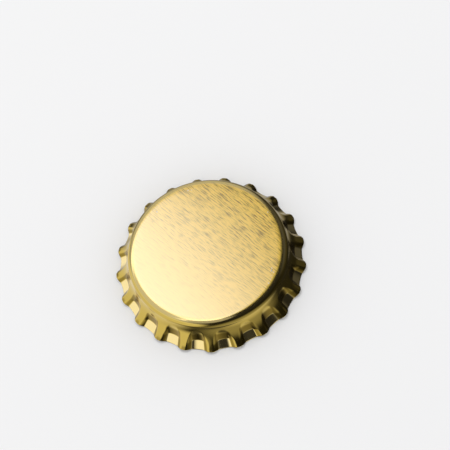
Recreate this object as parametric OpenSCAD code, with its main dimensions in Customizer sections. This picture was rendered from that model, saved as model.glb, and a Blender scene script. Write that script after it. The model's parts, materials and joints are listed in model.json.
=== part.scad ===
// Crown cap for a bottle: a pressed tinplate shell with a moulded seal inside it.
// It stands on the edge of its skirt, with the panel up, and its axis is Z.

/* [Shell] */
// Diameter over the tips of the folds
tip_d = 32.1; // [31.9:0.05:32.4]
// Diameter of the round wall inside, just under the corner
wall_d = 26.65; // [26.4:0.05:26.9]
// Height from the surface that it stands on to the top of the panel
height = 6.1; // [5.9:0.05:6.4]
// Thickness of the sheet
sheet = 0.235; // [0.2:0.005:0.28]
// Outer radius of the corner between the panel and the skirt
corner_r = 1.4; // [1.2:0.05:1.7]
// Length of the round wall inside, down from the end of the corner
land_length = 0.45; // [0.3:0.05:0.6]

/* [Flutes] */
// Number of flutes round the skirt
flutes = 21; // [18:1:24]
// Width of a fold's outer face at its tip
fold_width = 0.7; // [0.5:0.05:1]
// Height of the fold tips above the surface that the cap stands on
tip_rise = 0.65; // [0.5:0.05:0.8]
// Lean of the folds where they start under the corner, in degrees
fold_lean = 10; // [8:1:14]
// How far the lowest line of a flute lies inside the fold tips
scallop = 0.88; // [0.7:0.02:1]
// Distance from the skirt's outer face, under the corner, out to the bend in a flute
bend_out = 0.66; // [0.6:0.01:0.72]
// Height of the bend in a flute above the surface that the cap stands on
bend_z = 1.5; // [1.3:0.05:1.7]
// How far a flute's upper line aims inside the skirt's outer face, at the end of the corner
pad_in = 0.1; // [0.06:0.01:0.14]
// Distance from the end of the corner down to where a flute's round end begins
flute_start = 1.1; // [1:0.05:1.3]

/* [Seal] */
// Gap between the rim of the seal and the round wall
seal_gap = 0.625; // [0.5:0.025:0.8]
// Width of the bead round the rim
bead_width = 1; // [0.8:0.05:1.2]
// Depth of the bead below the panel
bead_depth = 1; // [0.8:0.05:1.2]
// Width of the slope inside the bead, from the middle of the bead
slope_width = 1.25; // [1.1:0.05:1.5]
// Width of the outer step
step_width = 0.95; // [0.8:0.05:1.2]
// Depth of the outer step below the panel
step_depth = 0.42; // [0.38:0.01:0.48]
// Width of the inner step
inner_step_width = 1; // [0.8:0.05:1.2]
// Depth of the inner step below the panel
inner_step_depth = 0.33; // [0.3:0.01:0.36]
// Thickness of the thin disc in the middle
disc_depth = 0.22; // [0.18:0.01:0.26]

/* [Hidden] */
$fn = 96;

tip_r = tip_d / 2;
outside_r = tip_r + 1;             // a radius outside the shell
skirt_r = wall_d / 2 + sheet;      // outer face of the skirt where the corner ends
corner_z = height - corner_r;      // level at which the corner ends
corner_x = skirt_r - corner_r;     // radius at which the flat panel ends
pitch = 360 / flutes;
first_fold = -90;                  // the direction of the first fold, along -Y
reach = 6;                         // how far cutters run past the shell
sector_gap = 0.4;                  // angle between a flute's space and the middle of a fold

// A fold's crest is an arc, hollow on its outer side, from the end of the corner to the tip.
fold_out = tip_r - skirt_r;
fold_drop = corner_z - tip_rise;
fold_turn = atan2(fold_out, fold_drop) - fold_lean;
fold_r = norm([fold_out, fold_drop]) / 2 / sin(fold_turn);
fold_x = skirt_r + fold_r * cos(fold_lean);
fold_z = corner_z + fold_r * sin(fold_lean);

// A flute is a round groove with a bend in it. Below the bend its line leans out so far that
// the sheet's inner face comes down to the standing surface at the scallop's radius.
low_r = tip_r - scallop;
bend_r = skirt_r + bend_out;
flare_lean = atan2(low_r - bend_r, bend_z) + asin(sheet / norm([low_r - bend_r, bend_z]));
pad_lean = atan2(bend_out + pad_in, corner_z - bend_z);
half_bend = (flare_lean - pad_lean) / 2;
pad_length = (corner_z - flute_start - bend_z) / cos(pad_lean);

// The groove's radius leaves a fold of the stated width between two flutes at the tips.
tip_depth = (tip_r - bend_r) * cos(flare_lean) - (bend_z - tip_rise) * sin(flare_lean);
flute_half = tip_r * sin(pitch / 2) - fold_width / 2;
flute_r = (flute_half * flute_half + tip_depth * tip_depth) / 2 / tip_depth;

// The skirt's edge lies on a cone, through the tips and the lowest points of the flutes.
edge_slope = tip_rise / scallop;

// Half section of the body that the sheet's outer face bounds, without the flutes. With inset
// set to the sheet it is the inner face's, which has a round land under the corner. Below the
// land it opens to the fold's arc, along a line that passes above the tip.
module body_section(inset, land) {
    wall = skirt_r - inset;
    land_z = corner_z - land;
    square([corner_x, height - inset]);
    translate([corner_x, corner_z]) intersection() {
        circle(corner_r - inset);
        square(corner_r);
    }
    square([wall, corner_z]);
    difference() {
        polygon([[0, -reach], [outside_r, -reach], [outside_r, tip_rise], [wall, land_z], [0, land_z]]);
        translate([fold_x, fold_z]) circle(fold_r + inset);
    }
}

// Half section of what lies above the skirt's edge.
module above_edge() {
    polygon([[0, -edge_slope * low_r], [tip_r, tip_rise], [tip_r, height], [0, height]]);
}

// Half section of a flute's upper part: a bar with a ball end.
module pad_section(r) {
    bar = reach + pad_length - flute_r * tan(half_bend);
    square([r, bar]);
    translate([0, bar]) intersection() {
        circle(r);
        square(r);
    }
}

// One flute, which cuts the outer face. With grow set to the sheet it is the plug that
// shapes the inner face. Its two parts meet in the plane that halves the bend.
module flute(grow) {
    r = flute_r + grow;
    intersection() {
        translate([bend_r, 0, bend_z]) rotate([0, -pad_lean - half_bend, 0])
            translate([flute_r / cos(half_bend), 0, 0]) {
                intersection() {
                    rotate([0, half_bend, 0]) translate([0, 0, -reach])
                        rotate_extrude() pad_section(r);
                    translate([-reach, -reach, 0]) cube(2 * reach);
                }
                intersection() {
                    rotate([0, -half_bend, 0]) translate([0, 0, -reach])
                        cylinder(r = r, h = 2 * reach);
                    translate([-reach, -reach, -2 * reach]) cube(2 * reach);
                }
            }
        flute_sector();
    }
}

// The space round one flute. It stops just short of the next flute's space.
module flute_sector() {
    half_width = outside_r * tan(pitch / 2 - sector_gap);
    translate([0, 0, -reach]) linear_extrude(reach + height)
        polygon([[0, 0], [outside_r, -half_width], [outside_r, half_width]]);
}

module all_flutes(grow) {
    for (i = [0:flutes - 1])
        rotate(first_fold + (i + 0.5) * pitch) flute(grow);
}

module crown_shell() {
    color("goldenrod") difference() {
        rotate_extrude() intersection() {
            body_section(0, 0);
            above_edge();
        }
        all_flutes(0);
        difference() {
            rotate_extrude() body_section(sheet, land_length);
            all_flutes(sheet);
        }
    }
}

// Half section of the seal. It is drawn from the panel's underside down, and its rim is cut
// to the inside of the corner, where it was moulded.
module seal_section() {
    seal_r = wall_d / 2 - seal_gap;
    bead_r = bead_width / 2;
    bead_x = seal_r - bead_r;
    bead_y = bead_r - bead_depth;
    step_r = bead_x - slope_width;
    inner_step_r = step_r - step_width;
    disc_r = inner_step_r - inner_step_width;
    // The slope runs from the outer step to where it touches the bead.
    slope_rise = -step_depth - bead_y;
    slope = atan2(slope_rise, slope_width) + asin(bead_r / norm([slope_width, slope_rise]));
    intersection() {
        translate([0, height - sheet]) {
            polygon([
                [0, 0],
                [0, -disc_depth],
                [disc_r, -disc_depth],
                [disc_r, -inner_step_depth],
                [inner_step_r, -inner_step_depth],
                [inner_step_r, -step_depth],
                [step_r, -step_depth],
                [bead_x - bead_r * sin(slope), bead_y - bead_r * cos(slope)],
                [bead_x, bead_y],
                [seal_r, bead_y],
                [seal_r, 0]
            ]);
            translate([bead_x, bead_y]) circle(bead_r);
        }
        body_section(sheet, 0);
    }
}

module seal() {
    color("darkkhaki") rotate_extrude() seal_section();
}

crown_shell();
seal();
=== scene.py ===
# A crown cap for a bottle: a pressed tinplate shell, gold outside, with a moulded seal inside it.
# It stands on the edge of its skirt, with the panel up. Lengths are in metres.
import json
import math

import bpy
import numpy as np
from mathutils import Matrix, Vector


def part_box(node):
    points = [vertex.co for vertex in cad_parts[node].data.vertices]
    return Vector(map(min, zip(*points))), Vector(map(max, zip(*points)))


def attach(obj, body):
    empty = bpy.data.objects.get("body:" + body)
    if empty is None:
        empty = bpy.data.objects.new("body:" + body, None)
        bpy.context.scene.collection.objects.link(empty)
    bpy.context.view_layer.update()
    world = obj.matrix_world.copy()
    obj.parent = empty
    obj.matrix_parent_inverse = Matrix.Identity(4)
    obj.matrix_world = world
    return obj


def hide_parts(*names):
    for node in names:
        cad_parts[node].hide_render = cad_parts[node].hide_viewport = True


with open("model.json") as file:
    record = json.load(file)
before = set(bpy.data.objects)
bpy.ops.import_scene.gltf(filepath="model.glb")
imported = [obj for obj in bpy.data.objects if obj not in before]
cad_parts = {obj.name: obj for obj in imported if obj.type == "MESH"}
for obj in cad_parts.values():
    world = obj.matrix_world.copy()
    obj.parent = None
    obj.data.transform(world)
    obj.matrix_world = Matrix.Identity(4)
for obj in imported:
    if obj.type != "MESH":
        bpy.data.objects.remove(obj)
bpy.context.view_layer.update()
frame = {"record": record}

# ---- The shell -----------------------------------------------------------------------------
# One round blank of tinplate, drawn in a single stroke of a press. The die's fingers push the
# skirt in at 21 places, so that it stands in folds between them, with each finger's print at
# the top of a flute and a flat flare below it.
MM = 0.001
FLUTES = 21
PITCH = 2 * math.pi / FLUTES
FIRST_FOLD = -math.pi / 2
SHEET = 0.235 * MM

cap_low, cap_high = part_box("crown_shell")
mouth = next(m for m in frame["record"]["mounts"] if m["name"] == "bottle_mouth")
wall_r = mouth["dims"]["r_mm"] * MM
skirt_r = wall_r + SHEET
corner_r = 1.4 * MM
corner_z = cap_high.z - corner_r
panel_r = skirt_r - corner_r

tip_r = -cap_low.y
tip_z = 0.65 * MM
low_r = tip_r - 0.88 * MM          # the lowest line of a flute
edge_slope = tip_z / (tip_r - low_r)

fold_lean = math.radians(10)
fold_drop = corner_z - tip_z
fold_turn = math.atan2(tip_r - skirt_r, fold_drop) - fold_lean
fold_arc = math.hypot(tip_r - skirt_r, fold_drop) / 2 / math.sin(fold_turn)
fold_x = skirt_r + fold_arc * math.cos(fold_lean)
fold_z = corner_z + fold_arc * math.sin(fold_lean)

bend_r = skirt_r + 0.66 * MM
bend_z = 1.5 * MM
bend_soft = 0.06 * MM
bend_zone = 0.2 * MM               # rows lie closer together this far above and below the bend
print_run = 0.76 * MM              # how far a print leans out between the corner and the bend
print_lean = math.atan2(print_run, corner_z - bend_z)
flare_run = low_r - bend_r
flare_lean = math.atan2(flare_run, bend_z) + math.asin(SHEET / math.hypot(flare_run, bend_z))

print_half = 0.9 * MM              # half the width of a finger's print, down to the bend
flare_spread = 0.34                # how fast the flare widens on each side, going down
floor_share = 0.52                 # the most of a flute's mouth that its floor takes up
band_at_bend = 0.48 * MM           # half the width of a fold's face at the level of the bend
band_at_tip = 0.44 * MM
arch_top = 4.25 * MM               # the top of a flute, which is round down to arch_low
arch_low = 2.7 * MM
arch_ramp = 1.1 * MM               # how far below its top a flute has its full depth
land_low = 4.05 * MM               # where the round wall inside runs out, over the next length
land_soft = 0.2 * MM
hollow_r = 4.0 * MM                # a flute's floor is slightly hollow from side to side
crease_soft = 0.1 * MM             # rounding where the floor turns up into a flute's side
edge_soft = 0.14 * MM              # rounding where the side turns into the fold's face


def smooth_max(a, b, soft):
    return np.maximum(a, b) + np.maximum(soft - np.abs(a - b), 0) ** 2 / (4 * soft)


def ease(t):
    t = np.clip(t, 0, 1)
    return t * t * (3 - 2 * t)


def fold_line(z, inset):
    """Radius of a fold's face at height z: the sheet's outer face, or its inner one with an inset."""
    arc = fold_x - np.sqrt((fold_arc + inset) ** 2 - (np.minimum(z, corner_z) - fold_z) ** 2)
    if inset == 0:
        return arc
    land = ease((z - land_low) / land_soft)
    return arc + (wall_r - arc) * land


def floor_line(z, inset):
    """Radius of the lowest line of a flute at height z."""
    above = bend_r + (bend_z - z) * math.tan(print_lean) - inset / math.cos(print_lean)
    below = bend_r + (bend_z - z) * math.tan(flare_lean) - inset / math.cos(flare_lean)
    return smooth_max(above, below, bend_soft)


def flute_halves(z):
    """Half the width of a flute's floor and of its whole mouth at height z."""
    down = np.clip((bend_z - z) / (bend_z - tip_z), -1, 1)
    band = band_at_bend + (band_at_tip - band_at_bend) * down
    mouth_half = fold_line(z, 0) * math.sin(PITCH / 2) - band
    rise = np.clip((z - arch_low) / (arch_top - arch_low), 0, 1)
    mouth_half = mouth_half * np.sqrt(1 - rise**2)
    floor_half = print_half + np.maximum(bend_z - z, 0) * flare_spread
    return np.minimum(floor_half, floor_share * mouth_half), mouth_half


def skirt_radius(phi, z, inset):
    """Radius of the skirt at an angle phi from the middle of the nearest flute."""
    fold = fold_line(z, inset)
    side = floor_line(z, inset) * np.abs(np.tan(phi))
    floor = floor_line(z, inset) / np.cos(phi) + side**2 / (2 * hollow_r)
    depth = np.maximum(fold - floor, 0) * ease((arch_top - z) / arch_ramp)
    floor_half, mouth_half = flute_halves(z)
    width = np.maximum(mouth_half - floor_half, 0.02 * MM)
    shift = inset * np.tan(np.arctan(depth / width) / 2)
    across = smooth_max(side - floor_half - shift, 0, crease_soft) / width
    drop = smooth_max(1 - across, 0, np.minimum(edge_soft / width, 0.6))
    return fold - depth * np.minimum(drop, 1)


def edge_height(phi, inset):
    """Height at which the cut edge, which lies on a cone, meets the skirt's face."""
    low, high = np.full_like(phi, -0.3 * MM), np.full_like(phi, 1.3 * MM)
    for _ in range(40):
        z = (low + high) / 2
        under = z < edge_slope * (skirt_radius(phi, z, inset) - low_r)
        low, high = np.where(under, z, low), np.where(under, high, z)
    return (low + high) / 2


def spread(start, end, steps, crowd=0.0):
    """Steps from start to end, without the end, drawn towards both of them by crowd."""
    t = np.arange(steps) / steps
    return start + (end - start) * ((1 - crowd) * t + crowd * ease(t))


def columns(z):
    """Angles from the middle of a flute at which a row at height z has its points."""
    floor_half, mouth_half = flute_halves(np.float64(z))
    mouth_half = max(mouth_half, 0.7 * MM)
    floor_half = max(min(floor_half, floor_share * mouth_half), 0.3 * MM)
    radius = floor_line(np.float64(z), 0)
    a, b = math.atan(floor_half / radius), math.atan(mouth_half / radius)
    half = np.concatenate([
        spread(0, a, 5),
        spread(a, b, 9, 0.6),
        spread(b, PITCH / 2, 5, 0.5),
    ])
    return np.concatenate([half, [PITCH / 2], -half[:0:-1]])


print_rows = np.concatenate([
    spread(corner_z, arch_top, 6),
    spread(arch_top, 3.2 * MM, 14),
    spread(3.2 * MM, bend_z + bend_zone, 10),
    spread(bend_z + bend_zone, bend_z - bend_zone, 8),
])


def skirt_rows(inset, z_rows, flare_steps):
    """Rows down the skirt, from the end of the corner to the cut edge."""
    rows = []
    for z in z_rows:
        phi = columns(z)
        rows.append((phi, skirt_radius(phi, np.full_like(phi, z), inset), np.full_like(phi, z)))
    start = bend_z - bend_zone
    for s in np.linspace(0, 1, flare_steps):
        phi = columns(start - s * (start - 0.15 * MM))
        z = start + (edge_height(phi, inset) - start) * s
        rows.append((phi, skirt_radius(phi, z, inset), z))
    return rows


def ring(radius, z):
    phi = columns(corner_z)
    return phi, np.full_like(phi, radius), np.full_like(phi, z)


first_ring = 0.4 * MM
flat_r = 8.0 * MM                  # the panel is quite flat up to here
rim_fall = 0.014 * MM


def rim_drop(radius):
    """How far the panel falls away towards its rim, which the press has left a little rounded."""
    fall = max(radius - flat_r, 0) ** 2 / (panel_r - flat_r) ** 2 * rim_fall
    return min(fall, rim_fall) * (1 - ease((radius - panel_r) / (0.9 * MM)))


outer = [ring(r, cap_high.z - rim_drop(r)) for r in np.linspace(first_ring, flat_r, 6)[:-1]]
outer += [ring(r, cap_high.z - rim_drop(r)) for r in np.linspace(flat_r, panel_r, 10)]
for turn in np.linspace(0, math.pi / 2, 17)[1:-1]:
    r = panel_r + corner_r * math.sin(turn)
    outer.append(ring(r, corner_z + corner_r * math.cos(turn) - rim_drop(r)))
outer += skirt_rows(0, print_rows, 13)

inner = skirt_rows(SHEET, print_rows[::2], 9)[::-1]
inner_corner = corner_r - SHEET
for turn in np.linspace(math.pi / 2, 0, 8)[1:]:
    inner.append(ring(panel_r + inner_corner * math.sin(turn), corner_z + inner_corner * math.cos(turn)))
inner += [ring(r, cap_high.z - SHEET) for r in np.linspace(panel_r, first_ring, 6)[1:]]

# The cut edge is a little rounded, between the last outer row and the first inner one.
lip = tuple((a + b) / 2 for a, b in zip(outer[-1], inner[0]))
lip = (lip[0], lip[1] + 0.012 * MM, lip[2] - 0.016 * MM)
profile = outer + [lip] + inner


def wrap(profile):
    """Repeats each row round all the flutes and gives points as rows x columns x 3."""
    points = []
    for phi, radius, z in profile:
        centre = FIRST_FOLD + PITCH / 2 + np.arange(FLUTES)[:, None] * PITCH
        theta = (centre + np.sort(phi)[None, :]).ravel()
        order = np.argsort(phi)
        around = np.tile(radius[order], FLUTES)
        height = np.tile(z[order], FLUTES)
        points.append(np.stack([around * np.cos(theta), around * np.sin(theta), height], -1))
    return np.array(points)


def grid_faces(rows, cols):
    """Quads of a grid that is closed round its columns."""
    r, c = np.meshgrid(np.arange(rows - 1), np.arange(cols), indexing="ij")
    a, b = r * cols + c, r * cols + (c + 1) % cols
    return np.stack([a, a + cols, b + cols, b], -1).reshape(-1, 4)


def closed_piece(name, grid, first_z, last_z):
    """An object from a grid of rows round the axis, closed at both ends by a point on the axis."""
    rows, cols = grid.shape[:2]
    points = np.concatenate([grid.reshape(-1, 3), [[0, 0, first_z], [0, 0, last_z]]])
    faces = grid_faces(rows, cols).tolist()
    first, last, last_row = rows * cols, rows * cols + 1, (rows - 1) * cols
    faces += [[first, c, (c + 1) % cols] for c in range(cols)]
    faces += [[last, last_row + (c + 1) % cols, last_row + c] for c in range(cols)]
    mesh = bpy.data.meshes.new(name)
    mesh.from_pydata(points.tolist(), [], faces)
    mesh.polygons.foreach_set("use_smooth", [True] * len(faces))
    made = bpy.data.objects.new(name, mesh)
    bpy.context.scene.collection.objects.link(made)
    return made, mesh, points


shell_grid = wrap(profile)
rows, cols = shell_grid.shape[:2]
shell, shell_mesh, points = closed_piece("shell", shell_grid, cap_high.z, cap_high.z - SHEET)

# The shell's finish: rolled tinplate keeps the straight grain of the mill under its gold lacquer.
# The die has left the skirt glossy and the prints of its fingers dull, and the cut edge is bare. The
# prints and the flute sides are also darkened as painted shade, and the lower corner and the rest of the
# skirt, but not the flares, half as much.
GRAIN_TURN = math.radians(-60)     # direction of the mill's grain on the panel, from +X


def add(tree, kind, inputs=None, **settings):
    """A shader node with its settings and its inputs, which are values or other nodes' outputs."""
    made = tree.nodes.new("ShaderNode" + kind)
    for name, value in settings.items():
        setattr(made, name, value)
    for key, value in (inputs or {}).items():
        if isinstance(value, bpy.types.NodeSocket):
            tree.links.new(value, made.inputs[key])
        else:
            made.inputs[key].default_value = value
    return made


def maths(tree, operation, a, b=0.0, clamp=False):
    return add(tree, "Math", {0: a, 1: b}, operation=operation, use_clamp=clamp).outputs[0]


def blend_colour(tree, factor, a, b):
    mix = add(tree, "Mix", {0: factor, 6: a, 7: b}, data_type="RGBA")
    return mix.outputs[2]


def span(tree, value, low, high, to_low=0.0, to_high=1.0):
    inputs = {"Value": value, "From Min": low, "From Max": high, "To Min": to_low, "To Max": to_high}
    return add(tree, "MapRange", inputs, clamp=True).outputs[0]


def new_group(name, inputs, outputs):
    """An empty shader group with float sockets, and the outputs of its input node."""
    group = bpy.data.node_groups.new(name, "ShaderNodeTree")
    for label, value in inputs.items():
        socket = group.interface.new_socket(label, in_out="INPUT", socket_type="NodeSocketFloat")
        socket.default_value = value
    for label in outputs:
        group.interface.new_socket(label, in_out="OUTPUT", socket_type="NodeSocketFloat")
    return group, group.nodes.new("NodeGroupInput").outputs, group.nodes.new("NodeGroupOutput").inputs


def use(tree, group, **values):
    made = tree.nodes.new("ShaderNodeGroup")
    made.node_tree = group
    for name, value in values.items():
        if isinstance(value, bpy.types.NodeSocket):
            tree.links.new(value, made.inputs[name])
        else:
            made.inputs[name].default_value = value
    return made.outputs


def new_material(name):
    material = bpy.data.materials.new(name)
    material.use_nodes = True
    return material, material.node_tree, material.node_tree.nodes["Principled BSDF"]


def mill_grain():
    """Straight streaks of the rolling mill, in the flat blank's own coordinates.

    The third output says how strongly they show, which falls off towards one side of the blank. Where
    the streaks darken the colour, this is painted shade for the side of the panel that the soft light
    falls away from.
    """
    tree, given, gives = new_group("mill_grain", {"Fineness": 1.0}, ["Streaks", "Clouds", "Depth"])
    blank = add(tree, "UVMap", uv_map="blank").outputs[0]
    scaled = {0: blank, "Scale": given["Fineness"]}
    sized = add(tree, "VectorMath", scaled, operation="SCALE").outputs[0]
    parts = []
    for across, along, share in ((5400, 340, 0.5), (10000, 700, 0.5)):
        stretched = add(tree, "Mapping", {0: sized, "Scale": (across, along, 1)}).outputs[0]
        noise = add(tree, "TexNoise", {"Vector": stretched, "Scale": 1.0, "Detail": 2.0}).outputs[0]
        parts.append(maths(tree, "MULTIPLY", noise, share))
    total = maths(tree, "ADD", parts[0], parts[1])
    tree.links.new(span(tree, total, 0.48, 0.62), gives["Streaks"])
    clouds = add(tree, "TexNoise", {"Vector": sized, "Scale": 260.0, "Detail": 3.0}).outputs[0]
    tree.links.new(span(tree, clouds, 0.3, 0.7), gives["Clouds"])
    sideways = add(tree, "SeparateXYZ", {"Vector": blank}).outputs[0]
    tree.links.new(span(tree, sideways, 8 * MM, -10 * MM, 0.15, 1), gives["Depth"])
    return tree


def attribute(tree, name):
    return add(tree, "Attribute", attribute_name=name).outputs["Fac"]


speck_cells = 900.0                # cells to the metre, each with one speck or none


def dust_specks():
    """Tiny specks at random places: a mask of them, with the given size and share of the cells."""
    tree, given, gives = new_group("dust_specks", {"Size": 0.1 * MM, "Share": 0.1}, ["Specks"])
    place = add(tree, "TexCoord").outputs["Object"]
    cells = add(tree, "TexVoronoi", {"Vector": place, "Scale": speck_cells})
    reach = maths(tree, "MULTIPLY", given["Size"], speck_cells)
    inside = maths(tree, "LESS_THAN", cells.outputs["Distance"], reach)
    chosen = add(tree, "SeparateColor", {"Color": cells.outputs["Color"]}).outputs[0]
    there = maths(tree, "LESS_THAN", chosen, given["Share"])
    tree.links.new(maths(tree, "MULTIPLY", inside, there), gives["Specks"])
    return tree


grain = mill_grain()
specks = dust_specks()


# Where the caps rubbed the lacquer through as they tumbled together: x, y and reach in millimetres.
SCUFFS = (
    (9.2, -6.8, 0.2), (9.0, -7.25, 0.34), (9.25, -7.6, 0.2),
    (8.75, -8.1, 0.24), (8.4, -8.6, 0.18), (7.9, -9.2, 0.3),
    (0.3, 11.75, 0.22), (0.9, 11.6, 0.26), (1.5, 11.7, 0.16),
    (11.7, 3.2, 0.2), (-5.8, 9.8, 0.24),
)
PITS = (
    (9.05, -7.3, 0.24), (9.3, -7.1, 0.16), (-7.0, 8.3, 0.12), (12.7, -4.6, 0.14), (0.6, 11.7, 0.1),
)


def handling_marks(tree, noise):
    """Masks of the pale scuffs and of the dark pits, broken up by the noise."""
    place = add(tree, "TexCoord").outputs["Object"]
    flat_place = add(tree, "VectorMath", {0: place, 1: (1, 1, 0)}, operation="MULTIPLY").outputs[0]
    fine = add(tree, "TexNoise", {"Vector": place, "Scale": 3800.0, "Detail": 3.0}).outputs[0]
    ragged = maths(tree, "ADD", maths(tree, "MULTIPLY", noise, 0.4), span(tree, fine, 0.3, 0.7))
    masks = []
    for marks in (SCUFFS, PITS):
        mask = 0.0
        for x, y, size in marks:
            away = {0: flat_place, 1: (x * MM, y * MM, 0)}
            apart = add(tree, "VectorMath", away, operation="DISTANCE").outputs["Value"]
            nearness = span(tree, apart, size * MM, 0.2 * size * MM)
            mask = maths(tree, "MAXIMUM", mask, nearness)
        mask = maths(tree, "MULTIPLY", mask, maths(tree, "ADD", ragged, 0.35))
        masks.append(span(tree, mask, 0.5, 0.9, 0, 0.85))
    return masks


def gold_lacquer():
    """Satin and grained where the "panel" mark is 1, and a glossy mirror on the corner and skirt."""
    material, tree, surface = new_material("gold_lacquer")
    streaks = use(tree, grain, Fineness=1.0)
    flat = attribute(tree, "panel")
    dull_and_shade = attribute(tree, "dullness_and_painted_shade")
    # Painted shade: the streaks darken the panel more towards one side of the blank.
    strength = maths(tree, "MULTIPLY", span(tree, flat, 0, 1, 0.06, 1), streaks["Depth"])
    tone = maths(tree, "MULTIPLY", streaks["Streaks"], strength)
    gold = blend_colour(tree, flat, (0.95, 0.7, 0.15, 1), (0.98, 0.66, 0.1, 1))
    colour = blend_colour(tree, tone, gold, (0.2, 0.12, 0.01, 1))
    # Painted shade: the prints and the flute sides are darkened most, and the lower corner and the rest
    # of the skirt half as much.
    colour = blend_colour(tree, maths(tree, "MULTIPLY", dull_and_shade, 0.9), colour, (0.16, 0.1, 0.004, 1))
    scuffs, pits = handling_marks(tree, streaks["Clouds"])
    colour = blend_colour(tree, scuffs, colour, (0.68, 0.65, 0.6, 1))
    colour = blend_colour(tree, pits, colour, (0.1, 0.08, 0.07, 1))
    tree.links.new(colour, surface.inputs["Base Color"])
    tree.links.new(span(tree, flat, 0, 1, 1, 0.5), surface.inputs["Metallic"])
    rough = span(tree, flat, 0, 1, 0.11, 0.5)
    rough = maths(tree, "ADD", rough, maths(tree, "MULTIPLY", dull_and_shade, 0.03))
    tree.links.new(rough, surface.inputs["Roughness"])
    surface.inputs["Anisotropic"].default_value = 0.2
    tangent = add(tree, "Tangent", direction_type="UV_MAP", uv_map="blank").outputs[0]
    tree.links.new(tangent, surface.inputs["Tangent"])
    bump = add(tree, "Bump", {"Height": tone, "Strength": 0.5, "Distance": 0.02 * MM})
    tree.links.new(bump.outputs[0], surface.inputs["Normal"])
    gloss = attribute(tree, "gloss")
    worn = maths(tree, "MAXIMUM", scuffs, pits)
    worn = maths(tree, "MAXIMUM", worn, maths(tree, "MULTIPLY", dull_and_shade, 0.85))
    clear_coat = maths(tree, "MULTIPLY", gloss, maths(tree, "SUBTRACT", 1, worn))
    tree.links.new(clear_coat, surface.inputs["Coat Weight"])
    surface.inputs["Coat Roughness"].default_value = 0.1
    surface.inputs["Coat IOR"].default_value = 2.8
    return material


def inside_lacquer():
    """Thin clear lacquer, which leaves the tin an olive silver."""
    material, tree, surface = new_material("inside_lacquer")
    streaks = use(tree, grain, Fineness=1.0)
    dull_and_shade = attribute(tree, "dullness_and_painted_shade")
    tone = maths(tree, "MULTIPLY", streaks["Streaks"], 0.3)
    colour = blend_colour(tree, tone, (0.52, 0.49, 0.34, 1), (0.3, 0.27, 0.14, 1))
    # Painted shade: the same places are darkened on the inside too, more lightly.
    colour = blend_colour(tree, maths(tree, "MULTIPLY", dull_and_shade, 0.5), colour, (0.2, 0.18, 0.08, 1))
    tree.links.new(colour, surface.inputs["Base Color"])
    surface.inputs["Metallic"].default_value = 1
    surface.inputs["Roughness"].default_value = 0.28
    bump = add(tree, "Bump", {"Height": streaks["Streaks"], "Strength": 0.06, "Distance": 0.02 * MM})
    tree.links.new(bump.outputs[0], surface.inputs["Normal"])
    return material


def cut_edge():
    """Bare steel where the blank was cut out."""
    material, tree, surface = new_material("cut_edge")
    streaks = use(tree, grain, Fineness=3.0)
    colour = blend_colour(tree, streaks["Clouds"], (0.62, 0.58, 0.46, 1), (0.4, 0.36, 0.26, 1))
    tree.links.new(colour, surface.inputs["Base Color"])
    surface.inputs["Metallic"].default_value = 1
    surface.inputs["Roughness"].default_value = 0.35
    return material


for material in (gold_lacquer(), inside_lacquer(), cut_edge()):
    shell_mesh.materials.append(material)

# Each face's finish follows the row that it lies in.
outer_rows = len(outer) - 1
face_rows = np.arange((rows + 1) * cols) // cols
finish = np.where(face_rows < outer_rows, 0, np.where(face_rows < outer_rows + 2, 2, 1))
finish[(rows - 1) * cols:] = np.repeat([0, 1], cols)
shell_mesh.polygons.foreach_set("material_index", finish.astype(np.int32))

# Where each point lies in the flat blank: its distance down the pressed sheet from the middle.
steps = np.linalg.norm(np.diff(shell_grid[:outer_rows + 1], axis=0), axis=2)
from_middle = np.concatenate([np.zeros((1, cols)), np.cumsum(steps, axis=0)]) + first_ring
inside_steps = np.linalg.norm(np.diff(shell_grid[outer_rows + 1:], axis=0), axis=2)
back_in = from_middle[-1] - np.concatenate([np.zeros((1, cols)), np.cumsum(inside_steps, axis=0)])
from_middle = np.concatenate([from_middle, back_in])
theta = np.arctan2(shell_grid[..., 1], shell_grid[..., 0]) - GRAIN_TURN
blank = np.stack([-from_middle * np.sin(theta), from_middle * np.cos(theta)], -1).reshape(-1, 2)
blank = np.concatenate([blank, np.zeros((2, 2))])
corners = np.zeros(len(shell_mesh.loops), np.int32)
shell_mesh.loops.foreach_get("vertex_index", corners)
layer = shell_mesh.uv_layers.new(name="blank")
layer.data.foreach_set("uv", blank[corners].astype(np.float32).ravel())


def mark(mesh, name, values):
    mesh.attributes.new(name, "FLOAT", "POINT").data.foreach_set("value", values.astype(np.float32))


radius = np.hypot(points[:, 0], points[:, 1])
level = points[:, 2]
mark(shell_mesh, "panel", 1 - ease((radius - panel_r) / (0.6 * MM)))
angle = np.arctan2(points[:, 1], points[:, 0]) - FIRST_FOLD - PITCH / 2
phi = (angle + PITCH / 2) % PITCH - PITCH / 2
side = np.abs(np.sin(phi)) * radius
floor_half, mouth_half = flute_halves(level)
mouth_half = np.maximum(mouth_half, 0.3 * MM)

# A finger's print, from the bend up, fades out at its top and sides. It is made a little rougher and
# less glossy, and its darkening is painted shade.
above_bend = ease((level - bend_z + 0.05 * MM) / (0.2 * MM))
below_top = 1 - ease((level - arch_low) / (1.2 * MM))
print_shade_mask = above_bend * below_top * (1 - ease((side / mouth_half - 0.5) / 0.4))

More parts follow.
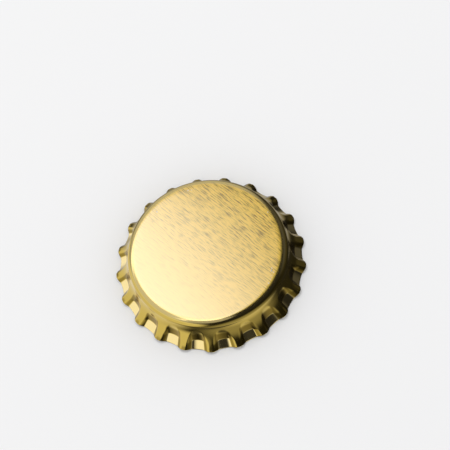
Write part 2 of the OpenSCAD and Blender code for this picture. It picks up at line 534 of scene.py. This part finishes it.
# Painted shade on a flute's sides, fading out towards the corner, and half as much on the lower corner
# and the rest of the skirt, with the flares left bright. The same mark makes these places a little
# rougher and less glossy.
past_floor = ease((side - floor_half) / (0.15 * MM))
wall_shade_mask = past_floor * (1 - ease((side - mouth_half + 0.35 * MM) / (0.2 * MM)))
below_corner = 1 - ease((level - 3.0 * MM) / (1.0 * MM))
beyond_panel = ease((radius - panel_r - 0.8 * MM) / (0.3 * MM))
flare_mask = 1 - ease((level - bend_z + 0.1 * MM) / (0.2 * MM))
flare_mask = flare_mask * (1 - ease((side - floor_half) / (0.1 * MM)))
dulled_and_shaded = np.maximum(0.95 * wall_shade_mask * below_corner, 0.5 * beyond_panel * (1 - flare_mask))
mark(shell_mesh, "dullness_and_painted_shade", np.maximum(print_shade_mask, dulled_and_shaded))
mark(shell_mesh, "gloss", np.maximum(flare_mask, 0.9 - 0.82 * beyond_panel))

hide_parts("crown_shell")
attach(shell, "root")

# ---- The seal ------------------------------------------------------------------------------
# A drop of plastic, stamped hot against the underside of the panel, which holds it by its own
# grip. It has a bead round the rim, which the bottle's mouth beds into, and two steps inside it.
seal_low, seal_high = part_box("seal")
seal_r = -seal_low.y
bead_r = 0.5 * MM
bead_x = seal_r - bead_r
bead_z = seal_low.z + bead_r
step_r = bead_x - 1.25 * MM
inner_step_r = step_r - 0.95 * MM
disc_r = inner_step_r - 1.0 * MM
step_z = seal_high.z - 0.42 * MM
inner_step_z = seal_high.z - 0.33 * MM
disc_z = seal_high.z - 0.22 * MM
slope_run = bead_x - step_r
slope_rise = step_z - bead_z
slope = math.atan2(slope_rise, slope_run) + math.asin(bead_r / math.hypot(slope_run, slope_rise))
step_soft = 0.07 * MM              # rounding of the steps' corners
centre_ring = 1 * MM
tool_rings = 0.24 * MM             # from one fine ring of the punch's turning to the next


def soften(corners, size, steps=4):
    """Points of a line of corners in which each inner corner is rounded over the given size."""
    line = [corners[0]]
    for before, here, after in zip(corners, corners[1:], corners[2:]):
        before, here, after = Vector(before), Vector(here), Vector(after)
        start = here + (before - here).normalized() * min(size, (before - here).length * 0.45)
        end = here + (after - here).normalized() * min(size, (after - here).length * 0.45)
        for t in np.linspace(0, 1, steps + 1):
            line.append(start * (1 - t) ** 2 + here * 2 * t * (1 - t) + end * t**2)
    return [tuple(point) for point in line] + [corners[-1]]


def seal_section():
    """Half section of the seal: its back from the middle out, its rim, and its face back in."""
    line = [(r, seal_high.z) for r in np.linspace(centre_ring, panel_r, 5)]
    rim_turn = math.asin((seal_r - panel_r) / inner_corner)
    for turn in np.linspace(0, rim_turn, 5)[1:]:
        line.append((panel_r + inner_corner * math.sin(turn), corner_z + inner_corner * math.cos(turn)))
    for turn in np.linspace(math.pi / 2, -slope, 20):
        line.append((bead_x + bead_r * math.sin(turn), bead_z - bead_r * math.cos(turn)))
    steps = [
        line[-1], (step_r, step_z), (inner_step_r, step_z), (inner_step_r, inner_step_z),
        (disc_r, inner_step_z), (disc_r, disc_z), (centre_ring, disc_z),
    ]
    return line[:-1] + soften(steps, step_soft)


def moulded_plastic():
    """Polythene from a polished punch, a little uneven, with fine rings and specks of dust."""
    material, tree, surface = new_material("moulded_plastic")
    place = add(tree, "TexCoord").outputs["Object"]
    clouds = add(tree, "TexNoise", {"Vector": place, "Scale": 220.0, "Detail": 3.0}).outputs[0]
    uneven = span(tree, clouds, 0.35, 0.65)
    colour = blend_colour(tree, uneven, (0.47, 0.45, 0.33, 1), (0.4, 0.38, 0.27, 1))
    dust = use(tree, specks, Size=0.1 * MM, Share=0.1)["Specks"]
    colour = blend_colour(tree, dust, colour, (0.85, 0.85, 0.8, 1))
    tree.links.new(colour, surface.inputs["Base Color"])
    tree.links.new(span(tree, clouds, 0.3, 0.7, 0.25, 0.36), surface.inputs["Roughness"])
    flat_place = add(tree, "VectorMath", {0: place, 1: (1, 1, 0)}, operation="MULTIPLY").outputs[0]
    from_axis = add(tree, "VectorMath", {0: flat_place}, operation="LENGTH").outputs["Value"]
    rings = maths(tree, "SINE", maths(tree, "MULTIPLY", from_axis, 2 * math.pi / tool_rings))
    height = maths(tree, "ADD", maths(tree, "MULTIPLY", rings, 0.08), clouds)
    bump = add(tree, "Bump", {"Height": height, "Strength": 0.25, "Distance": 0.03 * MM})
    tree.links.new(bump.outputs[0], surface.inputs["Normal"])
    return material


around = np.linspace(0, 2 * math.pi, 168, endpoint=False)
seal_grid = np.array([
    np.stack([r * np.cos(around), r * np.sin(around), np.full_like(around, z)], -1)
    for r, z in seal_section()
])
seal, seal_mesh, _ = closed_piece("seal_moulding", seal_grid, seal_high.z, disc_z)
seal_mesh.materials.append(moulded_plastic())
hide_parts("seal")
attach(seal, "root")

# ---- Table, lights and camera --------------------------------------------------------------
# The cap stands on a pale table. The metal shows a painted reflection of a studio round it, on a glowing
# tent that only
# reflections see: the table, lit on its left, one soft light high on the left, grey walls at the back
# and left, and the dark room on the right. The light and shade on that table, the cap's own shadow too,
# are painted patches.


def towards(azimuth, elevation):
    """Unit vector from the cap. Azimuth is counted from +X, in degrees."""
    a, e = math.radians(azimuth), math.radians(elevation)
    return Vector((math.cos(a) * math.cos(e), math.sin(a) * math.cos(e), math.sin(e)))


def stage_object(name, mesh, material):
    made = bpy.data.objects.new(name, mesh)
    mesh.materials.append(material)
    bpy.context.scene.collection.objects.link(made)
    return made


def facing(tree, direction, vector, low, high):
    """A soft disc round a direction: 0 where the vector is low degrees off it, 1 where high."""
    along = add(tree, "VectorMath", {0: direction, 1: vector}, operation="DOT_PRODUCT").outputs["Value"]
    edges = [math.cos(math.radians(degrees)) for degrees in (low, high)]
    inputs = {"Value": along, "From Min": edges[0], "From Max": edges[1]}
    return add(tree, "MapRange", inputs, interpolation_type="SMOOTHSTEP").outputs[0]


def patches(tree, direction, base, placed):
    """A glow made of soft patches, each with azimuth, elevation, outer and inner reach, and level."""
    glow = (base, base, base, 1)
    for azimuth, elevation, outer, inner, level in placed:
        patch = facing(tree, direction, towards(azimuth, elevation), outer, inner)
        glow = blend_colour(tree, patch, glow, (level, level, level, 1))
    return glow


def painted_studio_reflection():
    """Painted reflection for the metal: the table up to its horizon, with painted light and shade on it,
    and the room and its light above it.
    """
    material = bpy.data.materials.new("painted_studio_reflection")
    material.use_nodes = True
    tree = material.node_tree
    tree.nodes.remove(tree.nodes["Principled BSDF"])
    here = add(tree, "TexCoord").outputs["Object"]
    here = add(tree, "VectorMath", {0: here}, operation="NORMALIZE").outputs[0]
    table = patches(tree, here, 0.03, (
        (80, -45, 45, 15, 0.4),        # the far part of the table, half lit
        (165, -40, 50, 20, 1.0),       # its left part, in the full light
        (160, -10, 40, 25, 1.0),       # the pale cloth over its left edge
        (-150, 5, 40, 25, 1.0),        # and on towards the camera
        (-80, -30, 45, 10, 0.45),      # the near part, half lit
        (-70, -55, 30, 10, 0.8),       # and brighter close by on the right
        (-110, -60, 25, 10, 0.1),      # the cap's own shadow beside its front
    ))
    room = patches(tree, here, 0.02, (
        (95, 20, 50, 25, 0.5),         # the back wall
        (-175, 20, 60, 20, 0.6),       # the left wall
        (165, 60, 38, 30, 1.7),        # the soft light, high on the left
        (175, 45, 30, 20, 0.6),        # its lower edge, which is weaker
        (-115, 55, 20, 15, 0.4),       # the ceiling towards the camera, past that light's end
        (15, 10, 40, 20, 0.07),        # the dim wall on the right
        (110, 65, 11, 5, 2.4),         # the lamp itself, seen through the cloth
    ))
    # The horizon is tilted, because the pale cloth rises at the front left.
    above_horizon = facing(tree, here, towards(55, 67), 91, 86)
    glow = blend_colour(tree, above_horizon, table, room)
    shine = add(tree, "Emission", {"Color": glow}).outputs[0]
    tree.links.new(shine, tree.nodes["Material Output"].inputs["Surface"])
    material.cycles.emission_sampling = "NONE"
    return material


bpy.ops.mesh.primitive_uv_sphere_add(segments=64, ring_count=32, radius=0.35)
tent_mesh = bpy.context.object.data
bpy.data.objects.remove(bpy.context.object)
tent = stage_object("studio", tent_mesh, painted_studio_reflection())
tent.visible_camera = tent.visible_diffuse = tent.visible_shadow = False

paper, tree, surface = new_material("table_paper")
surface.inputs["Base Color"].default_value = (0.86, 0.86, 0.865, 1)
surface.inputs["Roughness"].default_value = 0.9
surface.inputs["Specular IOR Level"].default_value = 0
table_mesh = bpy.data.meshes.new("table")
table_corners = [(-4, -4, 0), (4, -4, 0), (4, 4, 0), (-4, 4, 0)]
table_mesh.from_pydata(table_corners, [], [(0, 1, 2, 3)])
table = stage_object("table", table_mesh, paper)
table.visible_glossy = False

world = bpy.data.worlds.new("studio")
bpy.context.scene.world = world
world.use_nodes = True
world.node_tree.nodes["Background"].inputs["Color"].default_value = (1, 1, 1, 1)
world.node_tree.nodes["Background"].inputs["Strength"].default_value = 0.85
world.cycles_visibility.glossy = False

lamp = bpy.data.lights.new("key_light", "AREA")
lamp.size, lamp.energy = 0.3, 0.8
key_light = bpy.data.objects.new("key_light", lamp)
away = towards(110, 72)
key_light.location = away * 0.6
key_light.rotation_euler = away.to_track_quat("Z", "Y").to_euler()
key_light.visible_camera = key_light.visible_glossy = False
bpy.context.scene.collection.objects.link(key_light)

middle = Vector((4.33, 4.93, 3.05)) * MM    # what the camera is aimed at
distance = 0.6454
camera = bpy.data.objects.new("camera", bpy.data.cameras.new("camera"))
bpy.context.scene.collection.objects.link(camera)
camera.data.lens = 307.9
camera.data.clip_start, camera.data.clip_end = 0.01, 50
away = towards(-93.04, 64.18)
forward = -away
level_up = (Vector((0, 0, 1)) - away * away.z).normalized()
level_right = forward.cross(level_up)
roll = math.radians(15.88)
up = level_up * math.cos(roll) + level_right * math.sin(roll)
right = forward.cross(up)
turn = Matrix((right, up, away)).transposed()
camera.matrix_world = Matrix.Translation(middle + away * distance) @ turn.to_4x4()
bpy.context.scene.camera = camera
bpy.context.scene.view_settings.view_transform = "Standard"
